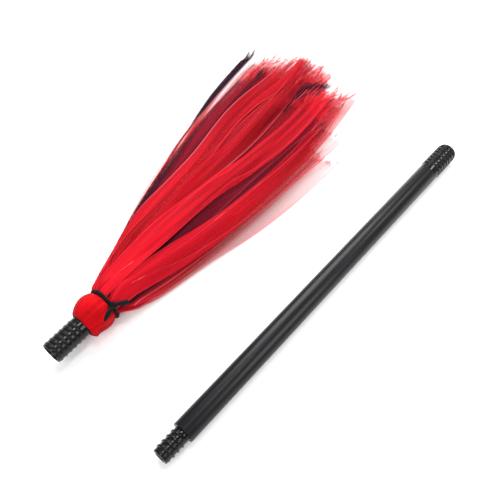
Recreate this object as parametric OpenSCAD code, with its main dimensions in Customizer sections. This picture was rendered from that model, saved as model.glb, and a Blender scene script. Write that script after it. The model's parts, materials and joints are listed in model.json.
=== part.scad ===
/* [Rod] */
// Outer diameter of the plastic tube
tube_d = 20; // [18:0.5:26]
// Wall of the tube
tube_wall = 1.6; // [1.4:0.1:1.8]
// Length of the tube between its two end fittings
tube_length = 358; // [250:1:600]
// Length of each fitting's shank inside the tube
shank_length = 30; // [15:1:60]
// Length of the ridged top socket outside the tube
rod_socket_length = 42; // [36:1:60]

/* [Thread] */
// Crest diameter of the male thread
thread_d = 16.2; // [14:0.1:16.4]
// Distance that one full turn travels
thread_pitch = 5; // [4.5:0.1:6]
// Number of turns from first catch to fully home
thread_turns = 5; // [3:1:5]
// Height of a thread ridge
thread_depth = 0.9; // [0.6:0.1:1.2]
// Radial room between male and female threads
thread_clearance = 0.35; // [0.3:0.05:0.5]
// Length of the plain round mouth before a socket's thread starts
lead_in = 5; // [4:0.5:7]
// How much wider the mouth's radius is than the threaded bore's
mouth_step = 0.65; // [0.5:0.05:0.8]
// Bore in the end of the male thread
spigot_bore_d = 9; // [5:0.5:10]
// Width of the flat crest of every ridge
crest_width = 1.2; // [0.8:0.1:1.4]
// Wall of a threaded socket under its ridges
socket_wall = 1.3; // [1.2:0.05:2]
// Height of the grip ridges on the outside of a socket
grip_ridge = 0.6; // [0.4:0.1:1]

/* [Head] */
// Length of the ridged stub that stands out of the bulb
stub_length = 35; // [30:1:50]
// Length of the socket hidden in the bulb
hidden_length = 22; // [21:1:40]
// Largest diameter of the fabric bulb
bulb_d = 36; // [32:1:46]
// Thickness of the gathered fabric around the bulb
bulb_wall = 1.2; // [0.8:0.1:2]
// Diameter of the gathered strips where they are tied
neck_d = 28; // [25:0.5:30]
// Diameter of the tie cord
cord_d = 3.8; // [2:0.2:4.4]
// Diameter of the knot
knot_d = 6.8; // [5:0.2:9]
// Length of each free end of the tie cord
tail_length = 14; // [8:1:25]

/* [Tassel] */
// Length of the longest strip beyond the tie
strip_length = 385; // [250:5:500]
// Width of the whole tassel at its far end
tassel_width = 170; // [120:5:200]
// Thickness of a strip as a plain solid
strip_t = 1.6; // [1:0.1:2.2]
// Gap between strips that lie side by side
strip_gap = 1; // [0.6:0.1:1.5]

/* [Place on the table] */
// Distance from the rod's axis to the socket's mouth, sideways
head_x = -126.7; // [-180:0.1:-120]
// Angle of the head to the rod, seen from above
head_yaw = 2.3; // [0:0.1:8]
// Further angle of the tassel at the tie
tassel_yaw = 7.2; // [0:0.2:9]

/* [Hidden] */
red_names = [for (i = [1 : 17]) str("red_strip_", i)];
black_names = [for (i = [1 : 6]) str("black_strip_", i)];

$fn = 64;
thread_segments = 20;  // flats in one turn of a thread
seat_gap = 0.3;        // left between shoulder and mouth when the thread is home
root_cover = 0.3;      // how far a ridge's foot reaches into the wall under it
ridge_foot = 2.6;      // width of a ridge at its foot
spigot_floor = 1;      // solid left between the spigot's bore and the tube
binding_d = 1.6;       // thread that binds the cloth to the hidden socket
tie_room = 4;          // length of the neck under the tie cord
tail_gap = 0.5;        // kept between the cord's back end and the bulb
tail_climb = 9.3;      // length of the back end by which it has risen clear of the bulb
flex_gap = 0.3;        // from the neck to the point about which the tassel flexes
flex_slope = 0.6;      // the strips' starts slope back, so that they clear the neck as they flex

tube_r = tube_d / 2;
tube_bore_r = tube_r - tube_wall;
thread_length = thread_pitch * thread_turns;
male_crest_r = thread_d / 2;
male_root_r = male_crest_r - thread_depth;
socket_bore_r = male_crest_r + thread_clearance;
socket_ridge_r = male_root_r + thread_clearance;
mouth_r = socket_bore_r + mouth_step;
socket_r = socket_bore_r + socket_wall;
grip_r = socket_r + grip_ridge;
bulb_r = bulb_d / 2;
neck_r = neck_d / 2;
cord_r = cord_d / 2;
knot_r = knot_d / 2;
loop_r = neck_r + cord_r;
bulb_start = stub_length - 1;
bulb_end = stub_length + hidden_length + 2;
tie_at = bulb_end + tie_room / 2;
flex_at = bulb_end + tie_room + flex_gap;
table_z = -max(grip_r, tube_r);
head_y = -thread_length - seat_gap - 0.7;
head_z = table_z + bulb_r;
knot_angle = 49;  // from straight up, towards the rod
knot_out = neck_r + knot_r + 0.15;  // from the head's axis to the knot's centre
tail_r = 0.9 * cord_r;
back_lift = atan((bulb_r + tail_gap + tail_r - knot_out) / tail_climb);
head_turn = 186.9;  // turn of the head about its axis once it stands on the rod
// The head socket's thread starts where its ridge runs midway between the rod's ridges.
head_thread_start = head_turn - 360 / thread_pitch
    * (thread_length - seat_gap - lead_in - 1.5 * ridge_foot - thread_pitch / 2);

// Cylinder along +Y between two places.
module along_y(r, from, to) {
    translate([0, from, 0]) rotate([-90, 0, 0]) cylinder(r = r, h = to - from);
}

// Turned solid about the Y axis: points are [radius, place along Y].
module turned(points) {
    rotate([-90, 0, 0]) rotate_extrude() polygon(points);
}

module ring_y(radius, wire_r, at) {
    translate([0, at, 0]) rotate([-90, 0, 0])
        rotate_extrude() translate([radius, 0]) circle(r = wire_r);
}

// The four corners of a right-hand ridge's section after some turns.
function ridge_ring(turn, foot_r, crest_r) =
    let (a = 360 * turn, y = thread_pitch * turn)
    [for (p = [[foot_r, -ridge_foot], [crest_r, -crest_width],
               [crest_r, crest_width], [foot_r, ridge_foot]])
        [p[0] * cos(a), y + p[1] / 2, -p[0] * sin(a)]];

// A helical ridge about the Y axis, from its foot to its crest.
module ridge(length, foot_r, crest_r) {
    steps = floor(length / thread_pitch * thread_segments);
    points = [for (i = [0 : steps])
        each ridge_ring(i / thread_segments, foot_r, crest_r)];
    sides = [for (i = [0 : steps - 1], k = [0 : 3])
        let (a = 4 * i + k, b = 4 * i + (k + 1) % 4)
        each [[a, b, b + 4], [a, b + 4, a + 4]]];
    last = 4 * steps;
    ends = [[2, 1, 0], [3, 2, 0], [last, last + 1, last + 2], [last, last + 2, last + 3]];
    // A ridge that points inwards has its faces turned over.
    polyhedron(points, [for (f = concat(ends, sides))
        crest_r > foot_r ? f : [f[2], f[1], f[0]]], convexity = 10);
}

// Round grip ridges on the outside of a socket.
module grip_ridges(from, to) {
    count = floor((to - from) / thread_pitch);
    for (i = [0 : count - 1])
        translate([0, from + (i + 0.5) * thread_pitch, 0])
            turned([[socket_r - root_cover, -ridge_foot / 2], [socket_r, -ridge_foot / 2],
                [grip_r, -crest_width / 2], [grip_r, crest_width / 2],
                [socket_r, ridge_foot / 2], [socket_r - root_cover, ridge_foot / 2]]);
}

module handle_tube() {
    color([0.07, 0.08, 0.1]) difference() {
        along_y(tube_r, 0, tube_length);
        along_y(tube_bore_r, -1, tube_length + 1);
    }
}

module male_spigot() {
    color([0.04, 0.04, 0.05]) {
        difference() {
            union() {
                along_y(male_root_r, -thread_length, 1);
                along_y(tube_bore_r, 0, shank_length);
            }
            along_y(spigot_bore_d / 2, -thread_length - 1, -spigot_floor);
        }
        translate([0, -thread_length + ridge_foot, 0])
            ridge(thread_length - 2 * ridge_foot, male_root_r - root_cover, male_crest_r);
    }
}

// Female thread in a bore that starts at the mouth at 0 and runs along +Y.
module socket_thread() {
    translate([0, lead_in + ridge_foot / 2, 0])
        ridge(thread_length - lead_in - ridge_foot / 2,
            socket_bore_r + root_cover, socket_ridge_r);
}

module rod_socket() {
    depth = thread_length + 5;
    end_y = tube_length + rod_socket_length;
    color([0.04, 0.04, 0.05]) {
        difference() {
            union() {
                along_y(socket_r, tube_length, end_y);
                along_y(tube_bore_r, tube_length - shank_length, tube_length);
                translate([0, tube_length, 0]) grip_ridges(1, rod_socket_length - 1);
            }
            along_y(socket_bore_r, end_y - depth, end_y + 1);
            along_y(mouth_r, end_y - lead_in, end_y + 1);
        }
        translate([0, end_y, 0]) rotate([0, 0, 180]) socket_thread();
    }
}

// Places children in the head's own frame: mouth at the origin, tassel along +Y.
module at_head() {
    translate([head_x, head_y, head_z]) rotate([0, 0, head_yaw]) children();
}

module head_socket() {
    end = stub_length + hidden_length;
    color([0.05, 0.05, 0.06]) at_head() {
        difference() {
            union() {
                along_y(socket_r, 0, end);
                grip_ridges(0.5, stub_length - 1.5);
            }
            along_y(socket_bore_r, -1, end + 1);
            along_y(mouth_r, -1, lead_in);
        }
        rotate([0, head_thread_start, 0]) socket_thread();
    }
}

// Loose stop in the socket's bore, just beyond the rod's thread.
module stop_plug() {
    start = thread_length + 1.5;
    color([0.6, 0.55, 0.45]) at_head()
        along_y(socket_bore_r - thread_clearance, start, start + 4);
}

module bulb_wadding() {
    color([0.85, 0.82, 0.78]) at_head() difference() {
        along_y(bulb_r - 3.6, stub_length + 7, bulb_end - 6);
        along_y(socket_r + 0.4, stub_length, bulb_end);
    }
}

module inner_binding() {
    color([0.1, 0.1, 0.1]) at_head() ring_y(socket_r + binding_d / 2 + 0.02, binding_d / 2,
        stub_length + 4);
}

// Radius of the bulb at a share of its length.
front_r = grip_r + 0.6;
function bulb_radius(u) = front_r + (neck_r - front_r) * u
    + (bulb_r - (front_r + neck_r) / 2) * pow(sin(180 * u), 0.6);
bulb_steps = 16;
function bulb_profile(inset) = [for (i = [0 : bulb_steps])
    let (u = i / bulb_steps)
    [bulb_radius(u) - inset, bulb_start + u * (bulb_end - bulb_start)]];

module bulb_cover() {
    outer = bulb_profile(0);
    inner = bulb_profile(bulb_wall);
    neck_end = bulb_end + tie_room;
    color([0.85, 0.1, 0.14]) at_head() difference() {
        turned(concat([[0, bulb_start]], outer, [[neck_r, neck_end], [0, neck_end]]));
        turned(concat([[0, bulb_start + bulb_wall]],
            [for (p = inner) [p[0], max(p[1], bulb_start + bulb_wall)]],
            [[neck_r - bulb_wall, neck_end + 1], [0, neck_end + 1]]));
        along_y(grip_r + 0.1, bulb_start - 1, bulb_start + bulb_wall + 1);
    }
}

// Places children at the knot, with +Z pointing away from the head's axis.
module at_knot() {
    translate([0, tie_at, 0]) rotate([0, knot_angle, 0])
        translate([0, 0, knot_out]) children();
}

// Round the neck from one side of the knot to the other.
module neck_cord() {
    gap = asin((knot_r + 0.1) / (neck_r + knot_r));
    color([0.05, 0.05, 0.06]) at_head() translate([0, tie_at, 0])
        rotate([-90, 0, 0]) rotate([0, 0, knot_angle - 90 + gap])
            rotate_extrude(angle = 360 - 2 * gap)
                translate([loop_r + 0.05, 0]) circle(r = cord_r);
}

module cord_knot() {
    color([0.05, 0.05, 0.06]) at_head() at_knot() sphere(r = knot_r);
}

// A free end of the cord that leaves the knot along +Y, tipped up and to one side.
module cord_tail(side, lift) {
    color([0.05, 0.05, 0.06]) at_head() at_knot() rotate([0, 0, side]) rotate([lift, 0, 0]) {
        along_y(tail_r, knot_r + 0.1, knot_r + tail_length);
    }
}
module cord_tail_front() { cord_tail(-15, 38); }
module cord_tail_back() { cord_tail(191, back_lift); }

// Width of the tassel at a distance beyond the tie: it opens fast, then slowly.
function spread(t) = neck_d + (tassel_width - neck_d) * pow(t / strip_length, 0.435);

// One layer of strips: height at the tie, height at the far end, share of the
// tassel's width, and the number of strips side by side.
layers = [
    [-12, -16.4, 0.84, 4],
    [-7, -10.4, 0.98, 5],
    [-1.4, -3.4, 1, 5],
    [4.2, 4.2, 0.94, 5],
    [9.4, 11.4, 0.66, 4]];

// Strip n of a layer: side by side from left to right, with a slanted cut end.
// Its start slopes back from the point about which the tassel flexes.
module strip(layer, n) {
    spec = layers[layer];
    count = spec[3];
    steps = 10;
    length = strip_length * (0.93 + 0.07 * sin(97 * n + 151 * layer));
    slant = 0.03 * strip_length * cos(137 * n + 61 * layer);
    left = n / count - 0.5;
    right = (n + 1) / count - 0.5;
    function start(f) = 0.6 + flex_slope * spec[2] * abs(f) * spread(neck_r);
    function edge(f, end, side) = [for (i = [0 : steps])
        let (t = start(f) + pow(i / steps, 2) * (end - start(f)))
        [spread(t) * spec[2] * f + side * strip_gap / 2, t]];
    across = edge(right, length + slant * 0.2, -1);
    pitch = atan((spec[1] - spec[0]) / strip_length);
    at_head() translate([0, flex_at, spec[0]])
        rotate([pitch, 0, 0]) rotate([0, 0, tassel_yaw])
            linear_extrude(height = strip_t) polygon(concat(edge(left, length - slant, 1),
                [for (i = [steps : -1 : 0]) across[i]]));
}

module red(layer, n) { color([0.88, 0.12, 0.17]) strip(layer, n); }
module black(layer, n) { color([0.06, 0.05, 0.06]) strip(layer, n); }

// Layer and place of each red and each black strip.
red_places = [[0, 1], [0, 2], [0, 3], [1, 1], [1, 2], [1, 3], [1, 4], [2, 0], [2, 2],
    [2, 3], [2, 4], [3, 1], [3, 2], [3, 4], [4, 0], [4, 2], [4, 3]];
black_places = [[0, 0], [1, 0], [2, 1], [3, 0], [3, 3], [4, 1]];

handle_tube();
male_spigot();
rod_socket();
stop_plug();
bulb_wadding();
head_socket();
inner_binding();
bulb_cover();
neck_cord();
cord_knot();
cord_tail_front();
cord_tail_back();
for (i = [0 : len(red_names) - 1])
    red(red_places[i][0], red_places[i][1]);
for (i = [0 : len(black_names) - 1])
    black(black_places[i][0], black_places[i][1]);
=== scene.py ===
import json
import math

import bmesh
import bpy
import numpy as np
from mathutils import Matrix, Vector


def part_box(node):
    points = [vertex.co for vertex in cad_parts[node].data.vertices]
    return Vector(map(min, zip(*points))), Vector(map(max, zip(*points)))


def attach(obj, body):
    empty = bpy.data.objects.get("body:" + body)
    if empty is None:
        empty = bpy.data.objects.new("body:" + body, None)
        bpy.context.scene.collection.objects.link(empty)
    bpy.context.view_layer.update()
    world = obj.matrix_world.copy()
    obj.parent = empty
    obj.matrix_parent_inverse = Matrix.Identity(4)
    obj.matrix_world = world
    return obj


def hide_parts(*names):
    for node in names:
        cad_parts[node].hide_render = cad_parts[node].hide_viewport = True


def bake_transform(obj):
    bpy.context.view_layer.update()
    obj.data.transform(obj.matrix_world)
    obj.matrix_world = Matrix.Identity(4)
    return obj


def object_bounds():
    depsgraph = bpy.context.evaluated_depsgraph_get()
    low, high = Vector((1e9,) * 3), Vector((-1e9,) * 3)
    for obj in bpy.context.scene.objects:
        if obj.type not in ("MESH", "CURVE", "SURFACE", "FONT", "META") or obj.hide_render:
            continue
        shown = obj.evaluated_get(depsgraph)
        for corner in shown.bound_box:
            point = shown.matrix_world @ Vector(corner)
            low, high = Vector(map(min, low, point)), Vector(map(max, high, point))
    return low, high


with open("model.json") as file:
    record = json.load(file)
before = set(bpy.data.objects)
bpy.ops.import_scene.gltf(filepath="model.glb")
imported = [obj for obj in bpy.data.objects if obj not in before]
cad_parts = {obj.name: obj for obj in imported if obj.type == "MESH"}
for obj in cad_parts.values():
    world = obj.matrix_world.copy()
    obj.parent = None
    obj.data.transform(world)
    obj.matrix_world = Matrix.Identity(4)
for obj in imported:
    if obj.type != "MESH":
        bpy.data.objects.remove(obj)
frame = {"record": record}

cadBox = [list(corner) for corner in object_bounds()]

# places taken from the frame
mounts = {m["name"]: m for m in frame["record"]["mounts"]}
mouthPlace = np.array(mounts["head_socket_mouth"]["pos_m"], float)
headAxis = -np.array(mounts["head_socket_mouth"]["axis"], float)
headAxis /= np.linalg.norm(headAxis)
headSide = np.array([headAxis[1], -headAxis[0], 0.0])  # towards the rod
floorZ = cadBox[0][2]


def headPoints(along, side, up):
    # mouth of the head's socket, plus each distance along the head's own three axes
    along, side, up = np.broadcast_arrays(along, side, up)
    return (mouthPlace + along[..., None] * headAxis + side[..., None] * headSide
            + up[..., None] * np.array([0.0, 0.0, 1.0]))


# camera and light
view = {
    "place": (0.13895, -0.07985, 0.465),
    "turn": 41.03,       # degrees to the left of the rod's direction
    "down": 55.0,        # degrees below level
    "lens": 43.2,
}


def makeCamera():
    camData = bpy.data.cameras.new("camera")
    camData.lens = view["lens"]
    camData.sensor_width = 36.0
    camData.clip_start = 0.01
    cam = bpy.data.objects.new("camera", camData)
    bpy.context.collection.objects.link(cam)
    cam.location = view["place"]
    cam.rotation_euler = (math.radians(90 - view["down"]), 0, math.radians(view["turn"]))
    bpy.context.scene.camera = cam


studio = {
    "sky": 0.46,
    "key": {"place": (-0.75, 0.75, 0.95), "aim": (-0.1, 0.2, 0.0), "size": 1.0, "power": 22.0},
    "side": {"place": (0.9, 0.5, 0.8), "aim": (-0.1, 0.2, 0.0), "size": 0.7, "power": 8.0},
    "front": {"place": (0.2, -0.8, 1.0), "aim": (-0.1, 0.2, 0.0), "size": 0.8, "power": 6.0},
    "top": {"place": (-0.05, 0.2, 1.15), "aim": (-0.05, 0.2, 0.0), "size": 0.22, "power": 2.2},
    "far": {"place": (0.28, 1.2, 0.95), "aim": (0.0, 0.3, 0.0), "size": 0.3, "power": 3.5},
    "floor": (0.93, 0.93, 0.93), "floorHalf": 6.0,
}


def makeStudio():
    world = bpy.data.worlds.new("studio")
    world.use_nodes = True
    back = world.node_tree.nodes["Background"]
    back.inputs["Color"].default_value = (1.0, 1.0, 1.0, 1.0)
    back.inputs["Strength"].default_value = studio["sky"]
    scene = bpy.context.scene
    scene.world = world
    scene.view_settings.view_transform = "Standard"
    scene.cycles.transparent_max_bounces = 64
    scene.cycles.max_bounces = 10
    for name in ("key", "side", "front", "top", "far"):
        spec = studio[name]
        lampData = bpy.data.lights.new(name, "AREA")
        lampData.shape = "DISK"
        lampData.size = spec["size"]
        lampData.energy = spec["power"]
        lamp = bpy.data.objects.new(name, lampData)
        bpy.context.collection.objects.link(lamp)
        lamp.location = spec["place"]
        toAim = Vector(spec["aim"]) - Vector(spec["place"])
        lamp.rotation_euler = toAim.to_track_quat("-Z", "Y").to_euler()
    half = studio["floorHalf"]
    floorMesh = bpy.data.meshes.new("floor")
    floorMesh.from_pydata([(-half, -half, floorZ), (half, -half, floorZ),
                           (half, half, floorZ), (-half, half, floorZ)], [], [(0, 1, 2, 3)])
    floor = bpy.data.objects.new("floor", floorMesh)
    bpy.context.collection.objects.link(floor)
    mat = bpy.data.materials.new("paleFloor")
    mat.use_nodes = True
    skin = mat.node_tree.nodes["Principled BSDF"]
    skin.inputs["Base Color"].default_value = (*studio["floor"], 1)
    skin.inputs["Roughness"].default_value = 0.9
    skin.inputs["Specular IOR Level"].default_value = 0.1
    floorMesh.materials.append(mat)


makeCamera()
makeStudio()
print("camera and studio ready")


# meshes
def addObject(name, mesh, material, body, smooth=True):
    obj = bpy.data.objects.new(name, mesh)
    bpy.context.collection.objects.link(obj)
    mesh.materials.append(material)
    if smooth:
        mesh.polygons.foreach_set("use_smooth", np.ones(len(mesh.polygons), bool))
    mesh.update()
    if body:
        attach(obj, body)
    return obj


def gridFaces(rows, cols, wrapCols=False, wrapRows=False, start=0):
    # quads between neighbouring grid points; a wrap joins the last column or row to the first
    i = np.arange(rows if wrapRows else rows - 1)[:, None]
    j = np.arange(cols if wrapCols else cols - 1)[None, :]
    k = (j + 1) % cols
    below = (i + 1) % rows
    quads = np.stack(np.broadcast_arrays(i * cols + j, i * cols + k,
                                         below * cols + k, below * cols + j), -1)
    return quads.reshape(-1, 4) + start


def meshFrom(name, points, faces, uv=None):
    # points is n by 3, faces a list of index arrays, uv one pair for each point
    mesh = bpy.data.meshes.new(name)
    mesh.from_pydata(points.reshape(-1, 3).tolist(), [], [list(map(int, f)) for f in faces])
    if uv is not None:
        setUv(mesh, uv.reshape(-1, 2))
    mesh.validate()
    return mesh


def setUv(mesh, uv):
    # uv has one pair for each vertex
    layer = mesh.uv_layers.new(name="cloth")
    corner = np.zeros(len(mesh.loops), np.int32)
    mesh.loops.foreach_get("vertex_index", corner)
    layer.data.foreach_set("uv", uv[corner].astype(np.float32).ravel())


# shader groups
def newGroup(name, inputs, outputs):
    group = bpy.data.node_groups.new(name, "ShaderNodeTree")
    for label, kind, value in inputs:
        socket = group.interface.new_socket(label, in_out="INPUT", socket_type=kind)
        if value is not None:
            socket.default_value = value
    for label, kind in outputs:
        group.interface.new_socket(label, in_out="OUTPUT", socket_type=kind)
    return group, group.nodes.new("NodeGroupInput"), group.nodes.new("NodeGroupOutput")


def mathNode(tree, operation, a, b=None, clamp=False):
    node = tree.nodes.new("ShaderNodeMath")
    node.operation = operation
    node.use_clamp = clamp
    for socket, value in zip(node.inputs, (a, b)):
        if value is None:
            continue
        if isinstance(value, (int, float)):
            socket.default_value = value
        else:
            tree.links.new(value, socket)
    return node.outputs[0]


def noiseMap(tree, vector, scale, detail, stretch=(1, 1, 1)):
    mapping = tree.nodes.new("ShaderNodeMapping")
    mapping.inputs["Scale"].default_value = stretch
    tree.links.new(vector, mapping.inputs["Vector"])
    noise = tree.nodes.new("ShaderNodeTexNoise")
    noise.inputs["Scale"].default_value = scale
    noise.inputs["Detail"].default_value = detail
    tree.links.new(mapping.outputs[0], noise.inputs["Vector"])
    return noise.outputs["Fac"]


def rangeNode(tree, value, fromLow, fromHigh, toLow, toHigh):
    node = tree.nodes.new("ShaderNodeMapRange")
    for label, number in (("From Min", fromLow), ("From Max", fromHigh),
                          ("To Min", toLow), ("To Max", toHigh)):
        node.inputs[label].default_value = number
    tree.links.new(value, node.inputs["Value"])
    return node.outputs[0]


def mixColors(tree, factor, a, b):
    node = tree.nodes.new("ShaderNodeMix")
    node.data_type = "RGBA"
    for socket, value in ((node.inputs[0], factor), (node.inputs[6], a), (node.inputs[7], b)):
        if isinstance(value, (int, float, tuple)):
            socket.default_value = value
        else:
            tree.links.new(value, socket)
    return node.outputs[2]


def makePlasticGroup():
    # fine grain, long faint scratches along the piece, and dust in soft patches
    group, gIn, gOut = newGroup("plasticWear", [
        ("Vector", "NodeSocketVector", None), ("Wear", "NodeSocketFloat", 0.3)],
        [("Mask", "NodeSocketFloat"), ("Height", "NodeSocketFloat")])
    vec = gIn.outputs["Vector"]
    grain = noiseMap(group, vec, 1.0, 3.0, (900, 900, 900))
    scratch = rangeNode(group, noiseMap(group, vec, 1.0, 4.0, (1400, 26, 1400)), 0.58, 0.75, 0, 1)
    patch = noiseMap(group, vec, 28.0, 3.0)
    worn = mathNode(group, "MULTIPLY", gIn.outputs["Wear"],
                    mathNode(group, "ADD", mathNode(group, "MULTIPLY", scratch, 0.6), patch))
    group.links.new(worn, gOut.inputs["Mask"])
    group.links.new(mathNode(group, "SUBTRACT", mathNode(group, "MULTIPLY", grain, 0.35),
                             mathNode(group, "MULTIPLY", scratch, 0.5)), gOut.inputs["Height"])
    return group


def makeClothGroup():
    # threads that run along and across the cloth, from its UV map in metres: Net is 1 on a
    # thread, Streak wanders lengthwise, Height is for a bump
    group, gIn, gOut = newGroup("sheerWeave", [
        ("Vector", "NodeSocketVector", None), ("Pitch", "NodeSocketFloat", 1400.0)],
        [("Net", "NodeSocketFloat"), ("Streak", "NodeSocketFloat"),
         ("Height", "NodeSocketFloat")])
    vec = gIn.outputs["Vector"]
    split = group.nodes.new("ShaderNodeSeparateXYZ")
    group.links.new(vec, split.inputs[0])
    waves = []
    for axis in ("X", "Y"):
        phase = mathNode(group, "MULTIPLY", split.outputs[axis], gIn.outputs["Pitch"])
        wave = mathNode(group, "SINE", mathNode(group, "MULTIPLY", phase, 2 * math.pi))
        waves.append(rangeNode(group, wave, -1, 1, 0, 1))
    net = mathNode(group, "MAXIMUM", waves[0], waves[1])
    streak = noiseMap(group, vec, 1.0, 2.5, (230, 5, 1))
    group.links.new(net, gOut.inputs["Net"])
    group.links.new(streak, gOut.inputs["Streak"])
    fine = noiseMap(group, vec, 1.0, 2.0, (1500, 14, 1))
    group.links.new(mathNode(group, "ADD", mathNode(group, "MULTIPLY", net, 0.2), fine),
                    gOut.inputs["Height"])
    return group


plasticGroup = makePlasticGroup()
clothGroup = makeClothGroup()


def placeGroup(tree, group, vector, **values):
    node = tree.nodes.new("ShaderNodeGroup")
    node.node_tree = group
    for key, value in values.items():
        node.inputs[key].default_value = value
    tree.links.new(vector, node.inputs["Vector"])
    return node


def newMaterial(name):
    mat = bpy.data.materials.new(name)
    mat.use_nodes = True
    tree = mat.node_tree
    skin = tree.nodes["Principled BSDF"]
    coord = tree.nodes.new("ShaderNodeTexCoord")
    return mat, tree, skin, coord


def bumpInto(tree, skin, height, strength, distance):
    bump = tree.nodes.new("ShaderNodeBump")
    bump.inputs["Strength"].default_value = strength
    bump.inputs["Distance"].default_value = distance
    tree.links.new(height, bump.inputs["Height"])
    tree.links.new(bump.outputs[0], skin.inputs["Normal"])


def plasticMaterial(name, dark, pale, rough, wear, spec):
    # black plastic whose colour and shine drift a little with grain, scratches and dust
    mat, tree, skin, coord = newMaterial(name)
    group = placeGroup(tree, plasticGroup, coord.outputs["Object"], Wear=wear)
    mask = group.outputs["Mask"]
    tree.links.new(mixColors(tree, mask, (*dark, 1), (*pale, 1)), skin.inputs["Base Color"])
    tree.links.new(rangeNode(tree, mask, 0, 0.6, rough, rough + 0.2), skin.inputs["Roughness"])
    skin.inputs["Specular IOR Level"].default_value = spec
    bumpInto(tree, skin, group.outputs["Height"], 0.12, 0.0002)
    return mat


plastics = {
    "tube": {"dark": (0.003, 0.0032, 0.004), "pale": (0.014, 0.015, 0.017), "rough": 0.27,
             "wear": 0.3, "spec": 0.2},
    "fitting": {"dark": (0.002, 0.002, 0.0025), "pale": (0.014, 0.014, 0.015), "rough": 0.12,
                "wear": 0.25, "spec": 0.24},
}
tubeBlack = plasticMaterial("satinBlackTube", **plastics["tube"])
fittingBlack = plasticMaterial("mouldedBlack", **plastics["fitting"])

# deep and bright are each cloth's own colours; rim is a painted sheen, the pale highlight put on cut sides
# and fold crests
sheer = {
    "red": {"deep": (0.27, 0.0008, 0.004), "bright": (0.65, 0.007, 0.02),
            "rim": (0.92, 0.15, 0.18), "low": 0.34, "high": 0.88, "sheen": 0.03},
    "black": {"deep": (0.010, 0.001, 0.004), "bright": (0.03, 0.004, 0.015),
              "rim": (0.07, 0.04, 0.06), "low": 0.32, "high": 0.92, "sheen": 0.0},
}


def tulleMaterial(name, spec):
    # gathered tulle: denser near the tie and in streaks, with a painted sheen (a pale painted highlight)
    # along both cut sides and the fold crests, frayed at the end. The UV map is the flat cloth in metres,
    # and "make" holds in red the gathering, in green the edges and folds that get the painted sheen,
    # in blue the cut end, and in alpha the tone, which also holds a painted shade across each leaf.
    mat, tree, skin, coord = newMaterial(name)
    weave = placeGroup(tree, clothGroup, coord.outputs["UV"])
    attr = tree.nodes.new("ShaderNodeAttribute")
    attr.attribute_name = "make"
    parts = tree.nodes.new("ShaderNodeSeparateColor")
    tree.links.new(attr.outputs["Color"], parts.inputs[0])
    gather, side, end = parts.outputs
    streak = rangeNode(tree, weave.outputs["Streak"], 0.36, 0.64, -0.2, 0.2)
    # streak now also holds the tone, so the colour mix carries the painted shade across each leaf
    streak = mathNode(tree, "ADD", streak, attr.outputs["Alpha"], clamp=True)
    body = mixColors(tree, streak, (*spec["deep"], 1), (*spec["bright"], 1))
    # painted sheen: the rim colour is mixed in along cut sides and fold crests, a painted highlight where
    # light catches the cloth
    color = mixColors(tree, mathNode(tree, "MULTIPLY", side, 0.6), body, (*spec["rim"], 1))
    tree.links.new(color, skin.inputs["Base Color"])
    cover = mathNode(tree, "ADD", mathNode(tree, "MULTIPLY", gather, spec["high"] - spec["low"]),
                     spec["low"])
    cover = mathNode(tree, "ADD", cover, rangeNode(tree, streak, 0, 1, -0.05, 0.06))
    cover = mathNode(tree, "ADD", cover,
                     rangeNode(tree, weave.outputs["Net"], 0, 1, -0.05, 0.05))
    cover = mathNode(tree, "ADD", cover, mathNode(tree, "MULTIPLY", side, 0.25))
    frayed = mathNode(tree, "MULTIPLY", end, rangeNode(tree, weave.outputs["Height"],
                                                      0.42, 0.7, 0.5, 0.04))
    cover = mathNode(tree, "SUBTRACT", cover, frayed, clamp=True)
    tree.links.new(mathNode(tree, "MINIMUM", cover, 0.98), skin.inputs["Alpha"])
    skin.inputs["Roughness"].default_value = 0.62
    skin.inputs["Specular IOR Level"].default_value = 0.05
    skin.inputs["Sheen Weight"].default_value = spec["sheen"]
    skin.inputs["Sheen Roughness"].default_value = 0.35
    bumpInto(tree, skin, weave.outputs["Height"], 0.3, 0.0003)
    return mat


redTulle = tulleMaterial("redTulle", sheer["red"])
blackTulle = tulleMaterial("blackTulle", sheer["black"])


def clothMaterial(name, deep, bright):
    # several layers of the same tulle pulled tight: opaque, with the weave and soft streaks
    mat, tree, skin, coord = newMaterial(name)
    weave = placeGroup(tree, clothGroup, coord.outputs["UV"])
    streak = rangeNode(tree, weave.outputs["Streak"], 0.36, 0.64, 0, 1)
    patch = noiseMap(tree, coord.outputs["Object"], 70.0, 3.0)
    factor = mathNode(tree, "ADD", mathNode(tree, "MULTIPLY", streak, 0.5),
                      rangeNode(tree, patch, 0.35, 0.65, 0, 0.5), clamp=True)
    tree.links.new(mixColors(tree, factor, (*deep, 1), (*bright, 1)), skin.inputs["Base Color"])
    skin.inputs["Roughness"].default_value = 0.65
    skin.inputs["Sheen Weight"].default_value = 0.02
    skin.inputs["Specular IOR Level"].default_value = 0.05
    bumpInto(tree, skin, weave.outputs["Height"], 0.4, 0.0003)
    return mat


bulbRed = clothMaterial("gatheredRed", (0.22, 0.0005, 0.002), (0.55, 0.0015, 0.006))


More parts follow.
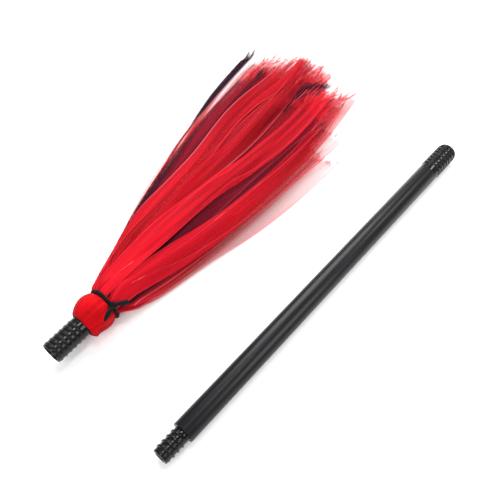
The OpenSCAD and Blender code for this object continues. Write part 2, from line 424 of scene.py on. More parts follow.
def cordMaterial():
    # knitted black cord: rows of small stitches from the UV map, one unit round the cord
    mat, tree, skin, coord = newMaterial("knittedCord")
    split = tree.nodes.new("ShaderNodeSeparateXYZ")
    tree.links.new(coord.outputs["UV"], split.inputs[0])
    across = mathNode(tree, "MULTIPLY", split.outputs["X"], 2 * math.pi * 6)
    lean = mathNode(tree, "MULTIPLY", split.outputs["Y"], 2 * math.pi * 900)
    first = mathNode(tree, "SINE", mathNode(tree, "ADD", across, lean))
    second = mathNode(tree, "SINE", mathNode(tree, "SUBTRACT", across, lean))
    stitch = rangeNode(tree, mathNode(tree, "MULTIPLY", first, second), -1, 1, 0, 1)
    fuzz = noiseMap(tree, coord.outputs["Object"], 1600.0, 3.0)
    mask = mathNode(tree, "MULTIPLY", stitch, fuzz)
    tree.links.new(mixColors(tree, mask, (0.002, 0.002, 0.0025, 1), (0.014, 0.014, 0.016, 1)),
                   skin.inputs["Base Color"])
    skin.inputs["Roughness"].default_value = 0.85
    skin.inputs["Specular IOR Level"].default_value = 0.15
    skin.inputs["Sheen Weight"].default_value = 0.02
    bumpInto(tree, skin, mathNode(tree, "ADD", stitch, fuzz), 0.6, 0.0005)
    return mat


cordBlack = cordMaterial()


def fibreMaterial(name, dark, pale, fine, clump, bump, stretch=(1, 1, 1)):
    # fibres pressed, fluffed or wound: fine noise over softer clumps, for colour and for bump
    mat, tree, skin, coord = newMaterial(name)
    hairs = noiseMap(tree, coord.outputs["Object"], fine, 4.0, stretch)
    clumps = noiseMap(tree, coord.outputs["Object"], clump, 3.0)
    mask = mathNode(tree, "ADD", mathNode(tree, "MULTIPLY", hairs, 0.6),
                    mathNode(tree, "MULTIPLY", clumps, 0.4))
    mask = rangeNode(tree, mask, 0.35, 0.65, 0, 1)
    tree.links.new(mixColors(tree, mask, (*dark, 1), (*pale, 1)), skin.inputs["Base Color"])
    skin.inputs["Roughness"].default_value = 0.9
    skin.inputs["Specular IOR Level"].default_value = 0.1
    skin.inputs["Sheen Weight"].default_value = 0.2
    bumpInto(tree, skin, mask, bump, 0.001)
    return mat


# hidden parts that keep their CAD shape: node, then what its material is made of
hiddenParts = {
    "stop_plug": {"dark": (0.16, 0.13, 0.09), "pale": (0.30, 0.26, 0.19), "fine": 1500.0,
                  "clump": 260.0, "bump": 0.5},
    "bulb_wadding": {"dark": (0.50, 0.48, 0.43), "pale": (0.78, 0.76, 0.72), "fine": 700.0,
                     "clump": 120.0, "bump": 0.8},
    "inner_binding": {"dark": (0.004, 0.004, 0.005), "pale": (0.03, 0.03, 0.033), "fine": 900.0,
                      "clump": 400.0, "bump": 0.6, "stretch": (1, 1, 3)},
}
for node, spec in hiddenParts.items():
    material = fibreMaterial(node + "Fibre", **spec)
    for place in bpy.data.objects[node].material_slots:
        place.material = material
print("materials ready")


# shapes turned or swept; every length from here on is in millimetres
def rodPoints(along, side, up):
    # the rod's own axis is the frame's Y axis
    along, side, up = np.broadcast_arrays(along, side, up)
    return np.stack([side, along, up], -1) * 0.001


def headPlace(along, side, up):
    return headPoints(np.asarray(along) * 0.001, np.asarray(side) * 0.001,
                      np.asarray(up) * 0.001)


def roundSurface(radius, along, place):
    # rows follow the profile and columns go once round: side = r cos a, up = -r sin a
    count = radius.shape[1]
    angle = 2 * np.pi * np.arange(count)[None, :] / count
    return place(along, radius * np.cos(angle), -radius * np.sin(angle))


def faceOutwards(mesh, merge=False):
    shell = bmesh.new()
    shell.from_mesh(mesh)
    if merge:
        bmesh.ops.remove_doubles(shell, verts=shell.verts, dist=1e-7)
    bmesh.ops.recalc_face_normals(shell, faces=shell.faces)
    shell.to_mesh(mesh)
    shell.free()
    return mesh


def closedSolid(name, grid):
    # a grid of points joined to itself both ways, so that it is one closed shell
    faces = gridFaces(*grid.shape[:2], True, True).tolist()
    return faceOutwards(meshFrom(name, grid, faces), merge=True)


def softCorners(points, radius=0.35, steps=4):
    # a closed profile whose corners are each cut back and rounded by a short curve
    points = np.asarray(points, float)
    before = np.roll(points, 1, 0)
    after = np.roll(points, -1, 0)
    toBefore = before - points
    toAfter = after - points
    lenBefore = np.linalg.norm(toBefore, axis=1, keepdims=True)
    lenAfter = np.linalg.norm(toAfter, axis=1, keepdims=True)
    cut = np.minimum(radius, 0.45 * np.minimum(lenBefore, lenAfter))
    first = points + toBefore / lenBefore * cut
    last = points + toAfter / lenAfter * cut
    u = np.linspace(0, 1, steps)[None, :, None]
    curve = (1 - u) ** 2 * first[:, None] + 2 * u * (1 - u) * points[:, None] + u ** 2 * last[:, None]
    return curve.reshape(-1, 2)


def plainRings(pairs, count):
    # one ring for each (radius, along) pair, the same all the way round
    pairs = np.array(pairs, float)
    return np.repeat(pairs[:, :1], count, 1), pairs[:, 1:]


def helixRidge(along, angle, spec):
    # height from 0 to 1 of a right-hand ridge: how near each point is to the line that
    # climbs one pitch a turn, flat on the crest, sloping to the foot, fading at both ends
    turn = (along - spec["from"]) / spec["pitch"] - angle / (2 * np.pi)
    off = np.abs(turn - np.round(turn)) * spec["pitch"]
    shape = np.clip((spec["foot"] - 2 * off) / (spec["foot"] - spec["crest"]), 0, 1)
    shape = shape * shape * (3 - 2 * shape)
    low = min(spec["from"], spec["to"])
    high = max(spec["from"], spec["to"])
    fade = np.clip((along - low) / 2.0 + 0.3, 0, 1) * np.clip((high - along) / 2.0 + 0.3, 0, 1)
    return shape * fade


tubeSizes = {"wall": 1.6, "rim": 0.5, "around": 128}
thread = {"pitch": 5.0, "length": 25.0, "crestR": 8.1, "rootR": 7.2, "clear": 0.35,
          "foot": 2.6, "crest": 1.2, "boreR": 4.5, "around": 96, "perPitch": 18}
socket = {"outerR": 9.93, "ridge": 0.6, "mouthStep": 0.65, "leadIn": 5.0, "headPhase": -50.7,
          "beyond": 5.0, "groove": 0.34, "grooveWide": 0.25, "rowStep": 0.22,
          "headLength": 57.0, "headShown": 35.0}
boreR = thread["crestR"] + thread["clear"]
ridgeR = thread["rootR"] + thread["clear"]


def makeTube():
    # the long tube: a hollow round bar with softly rounded rims
    low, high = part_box("handle_tube")
    outer = high.z * 1000
    inner = outer - tubeSizes["wall"]
    ends = (low.y * 1000, high.y * 1000)
    profile = softCorners([(outer, ends[0]), (outer, ends[1]), (inner, ends[1]),
                           (inner, ends[0])], tubeSizes["rim"])
    radius = np.repeat(profile[:, :1], tubeSizes["around"], 1)
    grid = roundSurface(radius, profile[:, 1:], rodPoints)
    mesh = closedSolid("tubeShell", grid)
    tube = addObject("tubeShell", mesh, tubeBlack, "rod")
    mesh.set_sharp_from_angle(angle=math.radians(40))
    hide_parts("handle_tube")


def makeSpigot():
    # male thread: the outside is one profile whose radius rises along the helix, then the
    # tip turns in to a blind bore
    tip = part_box("male_spigot")[0].y * 1000
    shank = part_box("male_spigot")[1].y * 1000
    spec = {**thread, "from": tip + thread["foot"], "to": -thread["foot"]}
    outside = np.linspace(tip + 0.6, 0.0, int(thread["length"] / thread["pitch"] * thread["perPitch"]))
    count = thread["around"]
    angle = 2 * np.pi * np.arange(count)[None, :] / count
    rise = helixRidge(outside[:, None], angle, spec)
    depth = thread["crestR"] - thread["rootR"]
    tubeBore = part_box("handle_tube")[1].z * 1000 - tubeSizes["wall"]
    inside = [(tubeBore, 0.05), (tubeBore, shank), (0.02, shank), (0.02, shank - 2)]
    hollow = [(0.02, -1.0), (thread["boreR"], -1.0), (thread["boreR"], tip + 0.5),
              (thread["boreR"] + 0.4, tip + 0.05), (thread["rootR"] - 0.7, tip),
              (thread["rootR"] - 0.15, tip + 0.25)]
    rings, ringsAt = plainRings(inside + hollow, count)
    radii = np.concatenate([thread["rootR"] + depth * rise, rings])
    grid = roundSurface(radii, np.concatenate([outside[:, None], ringsAt]), rodPoints)
    mesh = closedSolid("threadedTip", grid)
    tip = addObject("threadedTip", mesh, fittingBlack, "rod")
    mesh.set_sharp_from_angle(angle=math.radians(45))
    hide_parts("male_spigot")


def socketGrid(length, gripFrom, gripTo, place, phase, back):
    # outside with round grip ridges, each with a fine groove along its crest, then the
    # mouth, and inside the threaded bore; place runs from the mouth inwards
    count = thread["around"]
    angle = 2 * np.pi * np.arange(count)[None, :] / count
    pitch = thread["pitch"]
    outside = np.arange(length - 0.3, 0.25, -socket["rowStep"])
    ring = (outside - gripFrom) / pitch
    off = np.abs(ring - np.floor(ring) - 0.5) * pitch
    gripEnd = gripFrom + np.floor((gripTo - gripFrom) / pitch) * pitch
    inRange = (outside > gripFrom) & (outside < gripEnd)
    shape = np.clip((thread["foot"] - 2 * off) / (thread["foot"] - thread["crest"]), 0, 1)
    shape = shape * shape * (3 - 2 * shape)
    bump = socket["ridge"] * shape - socket["groove"] * np.exp(-(off / socket["grooveWide"]) ** 2)
    outR = socket["outerR"] + np.where(inRange, bump, 0)
    mouthR = boreR + socket["mouthStep"]
    depth = thread["length"] + socket["beyond"]
    inside = np.arange(socket["leadIn"] + 0.3, depth, pitch / thread["perPitch"])
    spec = {**thread, "from": socket["leadIn"] + thread["foot"] / 2, "to": thread["length"]}
    rise = helixRidge(inside[:, None], angle - math.radians(phase), spec)
    outerR = socket["outerR"]
    mouth = [(outerR - 0.1, 0.06), (outerR - 0.25, 0.0), (mouthR + 0.15, 0.0), (mouthR, 0.15),
             (mouthR, socket["leadIn"] - 0.05), (boreR, socket["leadIn"])]
    firstR, firstAt = plainRings([(outerR - 0.3, length)], count)
    mouthRings, mouthAt = plainRings(mouth, count)
    backRings, backAt = plainRings(back, count)
    radii = np.concatenate([firstR, np.repeat(outR[:, None], count, 1), mouthRings,
                            boreR + (ridgeR - boreR) * rise, backRings])
    places = np.concatenate([firstAt, outside[:, None], mouthAt, inside[:, None], backAt])
    return roundSurface(radii, places, place)


def makeRodSocket():
    low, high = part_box("rod_socket")
    top = high.y * 1000
    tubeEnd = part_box("handle_tube")[1].y * 1000
    length = top - tubeEnd
    shank = low.y * 1000

    def place(along, side, up):
        return rodPoints(top - along, -np.asarray(side), up)

    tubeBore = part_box("handle_tube")[1].z * 1000 - tubeSizes["wall"]
    depth = thread["length"] + socket["beyond"]
    back = [(boreR, depth), (0.02, depth), (0.02, top - shank), (tubeBore, top - shank),
            (tubeBore, length + 0.02), (socket["outerR"] - 0.4, length + 0.02)]
    grid = socketGrid(length, 1.0, length - 1.0, place, 0.0, back)
    mesh = closedSolid("ridgedTopSocket", grid)
    piece = addObject("ridgedTopSocket", mesh, fittingBlack, "rod")
    mesh.set_sharp_from_angle(angle=math.radians(45))
    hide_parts("rod_socket")


def makeHeadSocket():
    # the stub under the bulb: ridged where it shows, plain where the cloth covers it
    length = socket["headLength"]
    back = [(boreR, length), (boreR + 0.3, length)]
    grid = socketGrid(length, 0.5, socket["headShown"] - 1.0, headPlace, socket["headPhase"], back)
    mesh = closedSolid("ridgedStub", grid)
    piece = addObject("ridgedStub", mesh, fittingBlack, "head")
    mesh.set_sharp_from_angle(angle=math.radians(45))
    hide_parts("head_socket")


makeTube()
makeSpigot()
makeRodSocket()
makeHeadSocket()
print("rod and stub ready")


bulb = {
    "from": 34.0, "to": 59.0, "neckTo": 63.2, "front": 10.95, "radius": 18.0, "neck": 13.9,
    "wall": 1.2,
    "gathers": 15, "gatherDepth": 0.85,   # folds that deepen towards the tie
    "corner": 3.4,                        # how far the front edge pokes out on one side
    "rows": 120, "around": 240,
}


def bulbRadius(u, angle):
    # round ball between the stub and the neck, with a poked-out front corner, long soft
    # dents, and gathers that grow towards the tie; u is 0 at the front and 1 at the tie
    mean = (bulb["front"] + bulb["neck"]) / 2
    ball = bulb["front"] + (bulb["neck"] - bulb["front"]) * np.clip(u, 0, 1)
    ball = ball + (bulb["radius"] - mean) * np.sin(np.pi * np.clip(u, 0, 1)) ** 0.6
    toSide = np.clip(np.cos(angle - 0.1), 0, 1)
    ball = ball + bulb["corner"] * toSide ** 6 * np.exp(-((u - 0.05) / 0.12) ** 2)
    ball = ball - 1.1 * toSide ** 2 * np.exp(-((u - 0.42) / 0.25) ** 2)
    dent = 0.32 * np.sin(3 * angle + 5 * u + 0.4) * np.sin(np.pi * np.clip(u, 0, 1))
    dent = dent + 0.16 * np.sin(5 * angle - 7 * u + 2.0)
    wave = bulb["gathers"] * angle + 0.9 * np.sin(2 * angle + 1.0) + 0.6 * np.sin(angle * 3)
    pull = np.clip((u - 0.35) / 0.65, 0, 1) ** 1.6
    fold = bulb["gatherDepth"] * pull * (np.abs(np.sin(wave / 2)) ** 0.7 - 0.75)
    front = 0.18 * np.sin(9 * angle + 1.3) * np.exp(-(u / 0.2) ** 2)
    return ball + dent + fold + front


def makeBulb():
    count = bulb["around"]
    angle = 2 * np.pi * np.arange(count)[None, :] / count
    u = (0.5 - 0.5 * np.cos(np.linspace(0, np.pi, bulb["rows"])))[:, None]
    along = bulb["from"] + u * (bulb["to"] - bulb["from"])
    along = along + 0.35 * np.sin(2 * angle + 0.7) * np.exp(-(u / 0.15) ** 2)
    outer = bulbRadius(u, angle)
    neckU = np.linspace(0.15, 1, 8)[:, None]
    neckAlong = bulb["to"] + neckU * (bulb["neckTo"] - bulb["to"]) + 0 * angle
    neckR = bulbRadius(np.ones((8, 1)), angle) - 0.25 * np.sin(np.pi * neckU)
    inner = np.array([(bulb["neck"] - 2.2, bulb["neckTo"]), (bulb["neck"] - 2.2, bulb["to"]),
                      (bulb["radius"] - 2.6, bulb["to"] - 7), (bulb["radius"] - 2.6, bulb["from"] + 7),
                      (socket["outerR"] + 1.0, bulb["from"] + 1.3),
                      (socket["outerR"] + 0.85, bulb["from"] + 0.25)])
    flat = np.ones((1, count))
    radii = np.concatenate([outer, neckR, inner[:, :1] * flat])
    places = np.concatenate([along + 0 * angle, neckAlong, inner[:, 1:] * flat])
    grid = roundSurface(radii, places, headPlace)
    mesh = closedSolid("gatheredBulb", grid)
    local = np.array([v.co for v in mesh.vertices]) - mouthPlace
    around = np.arctan2(-local[:, 2], local @ headSide) * 0.018
    setUv(mesh, np.stack([around, local @ headAxis], -1))
    piece = addObject("gatheredBulb", mesh, bulbRed, "head")
    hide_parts("bulb_cover")


def sweptTube(name, path, radius, hint, sides=20, closed=False, capRows=5):
    # a round section carried along a path; each section stands square to the path, turned
    # from the hint direction, and open ends are closed by a blunt rounded cap
    path = np.asarray(path, float)
    radius = np.broadcast_to(np.asarray(radius, float), len(path)).copy()
    if closed:
        tangent = np.roll(path, -1, 0) - np.roll(path, 1, 0)
    else:
        tangent = np.gradient(path, axis=0)
    tangent /= np.linalg.norm(tangent, axis=1, keepdims=True)
    if not closed:
        bend = np.linspace(0, np.pi / 2, capRows)
        ends = []
        for at, sign in ((0, -1.0), (-1, 1.0)):
            out = path[at] + sign * tangent[at] * radius[at] * 0.5 * np.sin(bend)[:, None]
            ends.append((out, radius[at] * np.maximum(np.cos(bend), 0.02)))
        path = np.concatenate([ends[0][0][::-1], path[1:-1], ends[1][0]])
        radius = np.concatenate([ends[0][1][::-1], radius[1:-1], ends[1][1]])
        tangent = np.concatenate([np.repeat(tangent[:1], capRows, 0), tangent[1:-1],
                                  np.repeat(tangent[-1:], capRows, 0)])
    hint = np.broadcast_to(np.asarray(hint, float), path.shape)
    normal = hint - (hint * tangent).sum(1, keepdims=True) * tangent
    normal /= np.linalg.norm(normal, axis=1, keepdims=True)
    third = np.cross(tangent, normal)
    angle = 2 * np.pi * np.arange(sides) / sides
    grid = path[:, None] + radius[:, None, None] * (np.cos(angle)[None, :, None] * normal[:, None]
                                                     + np.sin(angle)[None, :, None] * third[:, None])
    step = np.linalg.norm(np.diff(path, axis=0), axis=1)
    along = np.concatenate([[0], np.cumsum(step)])
    uv = np.stack(np.broadcast_arrays(np.arange(sides)[None, :] / sides, along[:, None]), -1)
    rows = len(path)
    faces = gridFaces(rows, sides, True, closed).tolist()
    if not closed:
        faces.append(np.arange(sides)[::-1].tolist())
        faces.append(((rows - 1) * sides + np.arange(sides)).tolist())
    return faceOutwards(meshFrom(name, grid, faces, uv))


cord = {
    "tieAt": 61.0, "loop": 14.7, "radius": 1.7, "knotAt": 49.0, "knotOut": 16.9,
    "knot": 0.86, "strand": 1.45,
    "front": {"side": -15.0, "lift": 40.0, "droop": -5.0, "swing": 2.0, "length": 13.0, "radius": 2.1},
    "back": {"side": 191.0, "lift": 20.0, "droop": -6.5, "swing": -1.5, "length": 12.5, "radius": 2.15},
}


def knotFrame():
    # the knot's centre, the cord's direction there, the tassel's direction, and outwards
    a = math.radians(cord["knotAt"])
    up = np.array([0.0, 0.0, 1.0])
    out = math.sin(a) * headSide + math.cos(a) * up
    ringWay = math.cos(a) * headSide - math.sin(a) * up
    centre = headPlace(cord["tieAt"], math.sin(a) * cord["knotOut"], math.cos(a) * cord["knotOut"])
    return centre, ringWay, headAxis, out


def makeCord():
    # loop: once round the neck, pressed in a little where gathers let it, ends in the knot
    start = math.radians(90 - cord["knotAt"])
    gap = math.radians(9.0)
    angle = np.linspace(gap, 2 * np.pi - gap, 140) - start
    ring = cord["loop"] + 0.12 * np.sin(15 * angle) + 0.25 * np.sin(2 * angle)
    along = cord["tieAt"] + 0.35 * np.sin(3 * angle + 0.6)
    path = headPlace(along, ring * np.cos(angle), -ring * np.sin(angle))
    mesh = sweptTube("tieLoop", path, cord["radius"] * 0.001, headAxis, 24)
    loop = addObject("tieLoop", mesh, cordBlack, "head")
    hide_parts("neck_cord")
    centre, ringWay, tasselWay, out = knotFrame()
    # knot: a trefoil drawn tight, so that it reads as one over-under lump
    turn = 2 * np.pi * np.arange(150) / 150
    a = np.sin(turn) + 2 * np.sin(2 * turn)
    b = np.cos(turn) - 2 * np.cos(2 * turn)
    c = -np.sin(3 * turn)
    size = cord["knot"] * 0.001
    path = centre + size * (a[:, None] * ringWay + b[:, None] * tasselWay * 0.92 + 1.25 * c[:, None] * out)
    hint = out + 0.0 * path
    mesh = sweptTube("tieKnot", path, cord["strand"] * 0.001, hint, 20, closed=True)
    knot = addObject("tieKnot", mesh, cordBlack, "head")
    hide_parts("cord_knot")
    for name, node in (("front", "cord_tail_front"), ("back", "cord_tail_back")):
        spec = cord[name]
        s = math.radians(spec["side"])
        lift = math.radians(spec["lift"])
        way = (-math.sin(s) * math.cos(lift) * ringWay + math.cos(s) * math.cos(lift) * tasselWay
               + math.sin(lift) * out)
        across = np.cross(way, out)
        across /= np.linalg.norm(across)
        tau = np.linspace(0, 1, 40)[:, None]
        path = centre + (way * (2.0 + spec["length"] * tau) + out * spec["droop"] * tau ** 2
                         + across * spec["swing"] * np.sin(1.7 * tau) * tau) * 0.001
        grow = 0.78 + 0.3 * np.clip(tau[:, 0] * 1.6, 0, 1)
        mesh = sweptTube("tieEnd" + name.capitalize(), path, spec["radius"] * 0.001 * grow, across, 20)
        tail = addObject("tieEnd" + name.capitalize(), mesh, cordBlack, "head")
        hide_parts(node)


makeBulb()
makeCord()
print("bulb and tie ready")

# Tassel. Every strip is tied at its middle, so it gives two leaves, both cut "flat" wide.
# side: where a leaf lies across the tassel, -1 to 1. level: its place in the pile, 0 to 1.
tassel = {
    "tieAt": 61.0, "startAt": 1.6,
    "leftBase": 18.5, "leftGain": 137.0, "leftOver": 228.0,
    "rightBase": 9.5, "rightGain": 49.0, "rightOver": 100.0,
    "neck": 11.5, "rows": 120, "columns": 44,
    "flat": 50.0, "table": -17.4, "longest": 412.0,
    "opensOver": 5.5,                 # how soon the outline opens past the tie
    "pileOver": 16.0, "droopOver": 30.0, "crown": 9.0, "crownFall": 0.052, "dome": 2.4,
    "bend": (4.0, 60.0),              # two distances past the tie along the head's axis
    "fibre": 0.32,                    # half the width of a loose thread
}

# folds that every leaf shares: height, waves across, and how soon they grow past the tie
drapes = {
    "broad": (2.2, 11, 15, 60),
    "middle": (1.1, 23, 10, 50),
    "fine": (0.45, 49, 10, 40),
}


def outline(t):
    # left and right edges of the spread tassel: quick to open past the tie, then slowly
    opened = 1 - np.exp(-t / tassel["opensOver"])
    left = tassel["neck"] + (tassel["leftBase"] - tassel["neck"]) * opened
    left = left + tassel["leftGain"] * (1 - np.exp(-t / tassel["leftOver"]))
    right = tassel["neck"] + (tassel["rightBase"] - tassel["neck"]) * opened
    right = right + tassel["rightGain"] * (1 - np.exp(-t / tassel["rightOver"]))
    return (right - left) / 2, (right + left) / 2


def pileHeight(t, side, level):
    # round bundle at the tie, flat underneath once it lies on the table, domed above
    opening = 1 - np.exp(-t / tassel["pileOver"])
    drop = 1 - np.exp(-t / tassel["droopOver"])
    under = -tassel["neck"] - (-tassel["table"] - tassel["neck"]) * drop
    crown = tassel["neck"] + tassel["crown"] * opening - tassel["crownFall"] * t
    dome = np.sqrt(np.clip(1 - np.abs(side) ** tassel["dome"], 0.02, 1))
    middle = (under + crown) / 2
    half = (crown - under) / 2
    flatUnder = opening * under + (1 - opening) * (middle - half * dome)
    top = opening * (under + (crown - under) * dome) + (1 - opening) * (middle + half * dome)
    return flatUnder + (top - flatUnder) * level


def smoothStep(x):
    x = np.clip(x, 0, 1)
    return x * x * (3 - 2 * x)


def makeLeaf(spec):
    # One gathered leaf. t runs beyond the tie and v across the cloth, both on a grid.
    # Knife folds: the cloth steps sideways by W/2 v + b sin(2 pi turns v), with b such that
    # the way across stays about as long as the flat cloth. Its height is its layer's place in
    # the pile, plus the drape that all leaves share, plus a small rise of its own.
    length = spec["length"]
    rows, cols = tassel["rows"], tassel["columns"]
    u = np.linspace(0, 1, rows)[:, None]
    v = np.linspace(-1, 1, cols)[None, :]
    slant = spec["slant"] * v + 0.012 * spec["ragged"]
    ragged = 0.0035 * np.sin(9 * v + spec["phase"]) + 0.0012 * np.sin(31 * v + 2 * spec["phase"])
    reach = length * (1 + slant + ragged * spec["ragged"])
    t = tassel["startAt"] + (reach - tassel["startAt"]) * u ** 1.12
    side = spec["side"] + (spec["endSide"] - spec["side"]) * smoothStep(1.6 * t / length - spec["late"])
    sway = np.sin(2 * np.pi * t / spec["wave"] + spec["phase"])
    side = side + spec["wander"] * sway * smoothStep(t / 90)
    side = np.clip(side, -1.06, 1.03)
    centre, half = outline(t)
    level = spec["level"]
    wide = 7.0 + (spec["width"] - 7.0) * (1 - np.exp(-t / spec["opens"]))
    wide = np.minimum(wide, tassel["flat"] * 0.94)
    turns = spec["folds"]
    push = np.sqrt(np.maximum(tassel["flat"] ** 2 - wide ** 2, 1.0)) / (8 * turns) * spec["deep"]
    drift = spec["foldAt"] + 0.9 * np.sin(t / spec["foldWave"] + 2.0 * spec["phase"])
    fold = 2 * np.pi * turns * v + drift
    across = wide / 2 * v + push * np.sin(fold)
    neckPart = np.exp(-t / 20.0)
    roll = spec["roll"] * neckPart
    across = across * (0.55 + 0.45 * smoothStep((t - tassel["startAt"] + 3) / 22))
    room = half - (0.46 * wide + 0.5 * push) * smoothStep((t + 5) / 30)
    x = centre + side * room + across * np.cos(roll)
    place = (x - centre) / half
    # folds every layer shares, so that none passes through the next
    shifts = {"broad": 2.0 * np.sin(t / 90) + t / 130 + 0.6, "middle": 1.0 - 1.5 * np.sin(t / 60),
              "fine": 2.5 * np.sin(t / 47 + 1.0)}
    drape = sum(height * np.sin(waves * place + shifts[kind]) * smoothStep((t - begins) / over)
                for kind, (height, waves, begins, over) in drapes.items())
    z = pileHeight(t, place, level * (1 - spec["sink"] * np.exp(-t / 30))) + drape * (0.35 + 0.65 * level)
    z = z + across * np.sin(roll) * neckPart + 0.22 * np.cos(fold + 0.7)
    z = z + 0.08 * np.sin(t / 9.0 + 5 * v + spec["phase"])
    ground = tassel["table"] + 0.12 * spec["order"]
    underside = np.where(t < 12, -tassel["neck"] - 3 - (t / 12) * 3, ground)
    z = underside + np.logaddexp(0, (z - underside) / 0.8) * 0.8
    # crease and edge make the green channel: where the painted sheen goes, on fold crests and near the cut
    # sides
    crease = np.abs(wide / 2 + push * 2 * np.pi * turns * np.cos(fold)) / (push * 2 * np.pi * turns)
    edge = np.clip(1 - (1 - np.abs(v)) * tassel["flat"] / 2 / 1.3, 0, 1) + 0 * t
    # tone: a random tone for each leaf, plus a painted shade that darkens one side of the leaf across its
    # width, standing in for the shading of its own curve
    tone = spec["tone"] + 0.3 * np.sin(2.2 * v + t / 70 + 3.0 * spec["phase"])
    make = np.stack([np.clip(0.9 * np.exp(-t / 75) + 0.55 * spec["thick"], 0, 1),
                     np.clip(edge + 0.55 * np.clip(1 - crease * 3.5, 0, 1), 0, 1),
                     0.55 * smoothStep((u - 0.64) / 0.33)
                     + 0.4 * smoothStep((u - 0.985) / 0.015) + 0 * v,
                     np.clip(tone, 0, 1)], -1)
    uv = np.stack([v * tassel["flat"] / 2 + 0 * t, t], -1) * 0.001
    points = headPlace(tassel["tieAt"] + t, x, z)
    return points, uv, make


def threadsFrom(points, rng, count, reach):
    # loose threads: narrow ribbons that leave the cut end and wander off along it
    end = points[-1]
    way = points[-1] - points[-8]
    way /= np.linalg.norm(way, axis=1, keepdims=True)
    steps = 14
    w = np.linspace(0, 1, steps)[None, :, None]
    at = rng.integers(2, points.shape[1] - 2, count)
    length = rng.uniform(0.35, 1.0, (count, 1, 1)) * reach * 0.001
    drift = rng.normal(0, 0.16, (count, 1, 3)) * np.array([1, 1, 0.25])
    curl = rng.normal(0, 0.10, (count, 1, 3)) * np.array([1, 1, 0.2])
    path = (end[at][:, None] - way[at][:, None] * 0.004
            + (way[at][:, None] * w + drift * w ** 2 + curl * np.sin(5 * w) * w) * length)
    across = np.cross(way[at], np.array([0, 0, 1.0]))[:, None]
    half = tassel["fibre"] * 0.001 * (1.15 - w)
    pair = np.stack([path - across * half, path + across * half], 2)
    pair[..., 2] = np.maximum(pair[..., 2], floorZ + 0.0004)
    return pair.reshape(count, steps, 2, 3)


def stripPiece(name, node, leaves, material, rng):
    points, uvs, makes, faces = [], [], [], []
    start = 0
    for spec in leaves:
        grid, uv, make = makeLeaf(spec)
        points.append(grid.reshape(-1, 3))
        uvs.append(uv.reshape(-1, 2))
        makes.append(make.reshape(-1, 4))
        faces += gridFaces(*grid.shape[:2], start=start).tolist()
        start += grid.shape[0] * grid.shape[1]
        ribbons = threadsFrom(grid, rng, spec["threads"], spec["threadReach"])
        for ribbon in ribbons:
            points.append(ribbon.reshape(-1, 3))
            uvs.append(np.full((ribbon.shape[0] * 2, 2), 0.001))
            # loose threads: dense, with a little of the painted sheen in green
            makes.append(np.tile([1.0, 0.2, 0.0, 0.4], (ribbon.shape[0] * 2, 1)))
            faces += gridFaces(ribbon.shape[0], 2, start=start).tolist()
            start += ribbon.shape[0] * 2
    mesh = meshFrom(name, np.concatenate(points), faces, np.concatenate(uvs))
    layer = mesh.color_attributes.new("make", "FLOAT_COLOR", "POINT")
    layer.data.foreach_set("color", np.concatenate(makes).astype(np.float32).ravel())
    # added without a body, with its transform baked into the mesh
    piece = addObject(name, mesh, material, None)
    bend = [tuple(headPlace(tassel["tieAt"] + t, 0.0, 0.0)) for t in tassel["bend"]]
    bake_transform(piece)
    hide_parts(node)


# layer and place of each strip, as the frame stacks them: five layers, each side by side
layerSpread = [0.84, 0.98, 1.0, 0.94, 0.66]
layerCount = [4, 5, 5, 5, 4]
redPlaces = [(0, 1), (0, 2), (0, 3), (1, 1), (1, 2), (1, 3), (1, 4), (2, 0), (2, 2), (2, 3),
             (2, 4), (3, 1), (3, 2), (3, 4), (4, 0), (4, 2), (4, 3)]
blackPlaces = [(0, 0), (1, 0), (2, 1), (3, 0), (3, 3), (4, 1)]


def leafLength(endSide, rng):
    # longest a little left of the middle, shorter towards the right edge
    longest = np.interp(endSide, [-1, -0.55, -0.3, 0.1, 0.55, 1], [350, 382, 396, 390, 356, 284])
    return longest - np.abs(rng.normal(0, 40))


def leafSpec(layer, place, second, black, order, rng):
    side = layerSpread[layer] * ((place + 0.5) / layerCount[layer] - 0.5) * 2
    level = (layer + 0.5 + rng.uniform(-0.45, 0.45)) / 5
    if black:
        level = min(level - 0.06, 0.8)
    elif second and layer > 1:
        level = rng.uniform(0.8, 0.95)
    shift = 0.22 if second else -0.1
    drift = rng.uniform(-0.16, 0.16) + shift * np.sign(rng.normal())
    endSide = np.clip(side * 1.12 + drift, -0.86, 0.46)
    spec = {
        "side": float(np.clip(side * 1.1 + rng.uniform(-0.25, 0.25), -0.93, 0.66)),
        "endSide": float(endSide), "level": level,
        "length": float(leafLength(endSide, rng)), "order": order,
        "width": rng.uniform(28, 46) - (10 if level > 0.78 else 0), "opens": rng.uniform(45, 100),
        "folds": rng.uniform(0.45, 0.95) + (0.25 if level > 0.78 else 0), "deep": rng.uniform(0.8, 1.0),
        "foldAt": rng.uniform(0, 6.28), "foldWave": rng.uniform(55, 120),
        "wander": rng.uniform(0.02, 0.08),
        "wave": rng.uniform(180, 380), "phase": rng.uniform(0, 6.28),
        "roll": rng.uniform(-1.5, 1.5),
        "slant": rng.uniform(-0.085, 0.085), "ragged": rng.uniform(0.3, 1.0),
        "late": 0.0, "sink": 0.5 if black else 0.0,
        "thick": rng.uniform(0.0, 0.35), "tone": rng.uniform(0.1, 1.0),
        "threads": int(rng.integers(12, 30)), "threadReach": rng.uniform(12, 40),
    }
    return spec


def keptInside(spec):
    # no cut end or loose thread goes past the longest reach
    spec["length"] = min(spec["length"], (tassel["longest"] - 8) / (1 + abs(spec["slant"]) + 0.01))
    spec["threadReach"] = min(spec["threadReach"],
                              tassel["longest"] - spec["length"] * (1 + abs(spec["slant"]) + 0.01))
    return spec


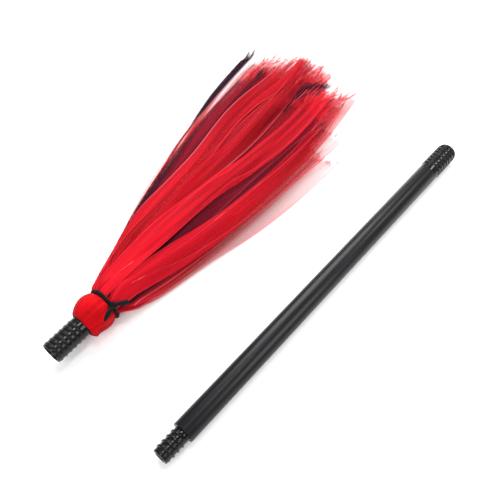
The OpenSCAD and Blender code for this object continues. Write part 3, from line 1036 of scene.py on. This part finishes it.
# leaves that lie where they are seen one by one: (colour, strip, first or second leaf)
chosenLeaves = {
    # wine band just inside the left edge, and a rolled black strand that leaves the same edge
    ("black", 4, 0): {"side": -0.82, "endSide": -0.72, "level": 0.989, "width": 26, "folds": 0.8,
                      "length": 318, "thick": 0.0, "wander": 0.02},
    ("black", 4, 1): {"side": -0.78, "endSide": -1.05, "late": 0.35, "level": 0.974, "width": 5,
                      "folds": 3.2, "length": 348, "threads": 26, "threadReach": 44, "thick": 0.9,
                      "wander": 0.0},
    # middle: dark between two bright bands, and a narrow end that stands past the others
    ("black", 6, 0): {"side": -0.16, "endSide": 0.06, "level": 0.9892, "width": 30, "folds": 0.7,
                      "length": 300, "slant": 0.05, "thick": 0.0},
    ("black", 6, 1): {"side": -0.3, "endSide": -0.28, "level": 0.9, "width": 9, "folds": 1.8,
                      "length": 384, "thick": 0.9, "slant": -0.01, "threads": 20},
    # right of the middle: a broad one with a square end, and a short narrow one
    ("black", 5, 0): {"side": 0.42, "endSide": 0.5, "level": 0.9894, "width": 40, "folds": 0.5,
                      "length": 306, "slant": -0.03, "thick": 0.0},
    ("black", 5, 1): {"side": 0.1, "endSide": 0.16, "level": 0.93, "width": 14, "folds": 1.2,
                      "length": 358, "thick": 0.8, "slant": 0.02},
    # single pale layers past the right edge and along the left one
    ("red", 11, 0): {"side": 0.72, "endSide": 0.99, "level": 0.12, "width": 46, "folds": 0.4,
                     "opens": 60, "length": 262, "thick": 0.0, "slant": 0.08, "wander": 0.0},
    ("red", 11, 1): {"side": 0.7, "endSide": 0.8, "level": 0.3, "width": 46, "folds": 0.45,
                     "opens": 70, "length": 304, "thick": 0.0, "slant": 0.03, "wander": 0.02},
    ("red", 7, 0): {"side": 0.68, "endSide": 0.66, "level": 0.2, "width": 44, "folds": 0.5,
                    "opens": 60, "length": 288, "thick": 0.0, "slant": -0.05},
    ("red", 8, 0): {"side": -1.0, "endSide": -0.96, "level": 0.984, "width": 44, "folds": 0.45,
                    "opens": 80, "length": 330, "thick": 0.0, "tone": 0.9, "wander": 0.01},
    # sheer covers over the dark ones
    ("red", 17, 0): {"side": 0.55, "endSide": 0.5, "level": 0.987, "width": 46, "folds": 0.4,
                     "length": 326, "thick": 0.0, "tone": 0.6, "slant": -0.04, "wander": 0.02},
    ("red", 16, 0): {"side": -0.05, "endSide": 0.12, "level": 0.988, "width": 45, "folds": 0.45,
                     "length": 318, "thick": 0.0, "tone": 0.7, "slant": 0.06},
    # brighter folded bands that cross the top from the tie to the ends
    ("red", 15, 0): {"side": -0.52, "endSide": -0.42, "level": 0.991, "width": 20, "folds": 1.3,
                     "length": 376, "thick": 0.2, "tone": 0.6, "slant": 0.03, "wander": 0.05},
    ("red", 12, 0): {"side": -0.36, "endSide": -0.1, "level": 0.993, "width": 17, "folds": 1.4,
                     "length": 352, "thick": 0.1, "tone": 0.35, "slant": -0.06, "wander": 0.06},
    ("red", 13, 0): {"side": 0.05, "endSide": 0.36, "level": 0.996, "width": 22, "folds": 1.1,
                     "length": 342, "thick": 0.1, "tone": 0.85, "slant": 0.07, "wander": 0.05},
    ("red", 14, 0): {"side": 0.78, "endSide": 0.8, "level": 0.995, "width": 21, "folds": 1.2,
                     "length": 276, "thick": 0.1, "tone": 0.5, "slant": -0.07, "wander": 0.03},
}


def makeTassel():
    # every leaf gets its own layer of the pile, in the order of the levels asked for
    strips = []
    for color, places in (("red", redPlaces), ("black", blackPlaces)):
        for number, (layer, place) in enumerate(places, 1):
            rng = np.random.default_rng(1000 + 37 * number + (0 if color == "red" else 500))
            leaves = []
            for second in (0, 1):
                spec = leafSpec(layer, place, second, color == "black", len(strips) % 7, rng)
                spec.update(chosenLeaves.get((color, number, second), {}))
                leaves.append(keptInside(spec))
            strips.append((color, number, leaves, rng))
    pile = sorted((spec for strip in strips for spec in strip[2]), key=lambda spec: spec["level"])
    for rank, spec in enumerate(pile):
        spec["level"] = 0.01 + 0.99 * rank / (len(pile) - 1)
    cloths = {"red": (redTulle, "red_tulle"), "black": (blackTulle, "black_tulle")}
    for color, number, leaves, rng in strips:
        material, slotName = cloths[color]
        stripPiece(color + "TulleStrip" + str(number), color + "_strip_" + str(number), leaves,
                   material, rng)


makeTassel()
print("tassel ready")
